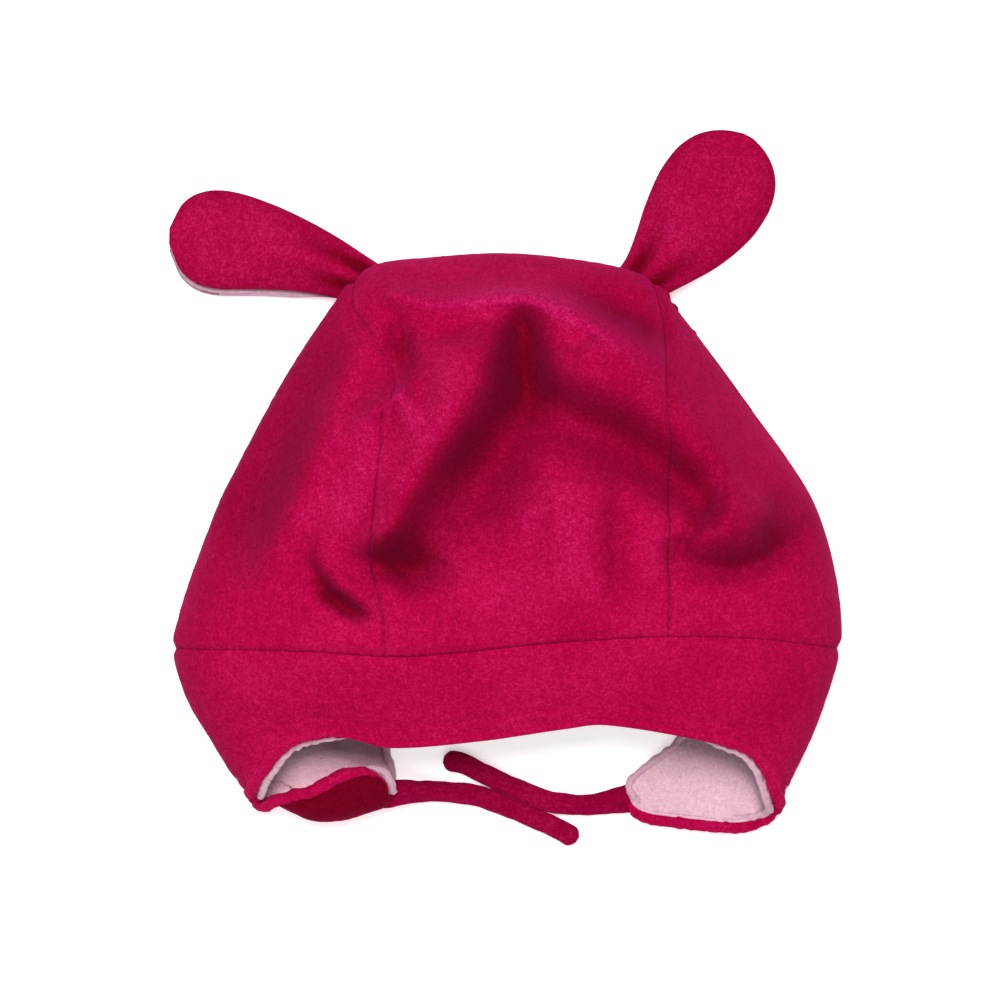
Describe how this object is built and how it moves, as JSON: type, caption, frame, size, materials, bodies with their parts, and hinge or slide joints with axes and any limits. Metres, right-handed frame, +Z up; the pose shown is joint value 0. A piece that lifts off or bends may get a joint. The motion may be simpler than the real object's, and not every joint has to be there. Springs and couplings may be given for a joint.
{
  "type": "baby hat with ears",
  "caption": "Baby's fleece hat lying on its back, with two animal-style ears, an ear flap at each side and short chin ties.",
  "frame": {"origin": "on the table under the middle of the hat's outline, without the ties", "axes": "+Y from the face opening to the crown's top, +X to the right as seen from above, +Z up from the table, through the hat's front"},
  "size_m": [0.2224, 0.2391, 0.0622],
  "materials": {
    "fleece": "hot pink fleece with a short mottled pile",
    "lining": "pale pink fleece",
    "tie": "deep pink fleece cord"
  },
  "bodies": {
    "root": {"crown_centre": "fleece", "crown_left": "fleece", "crown_right": "fleece", "band": "fleece", "band_lining": "lining", "ear_left_front": "fleece", "ear_left_back": "lining", "ear_right_front": "fleece", "ear_right_back": "lining", "tie_left": "tie", "tie_right": "tie"}
  },
  "joints": []
}
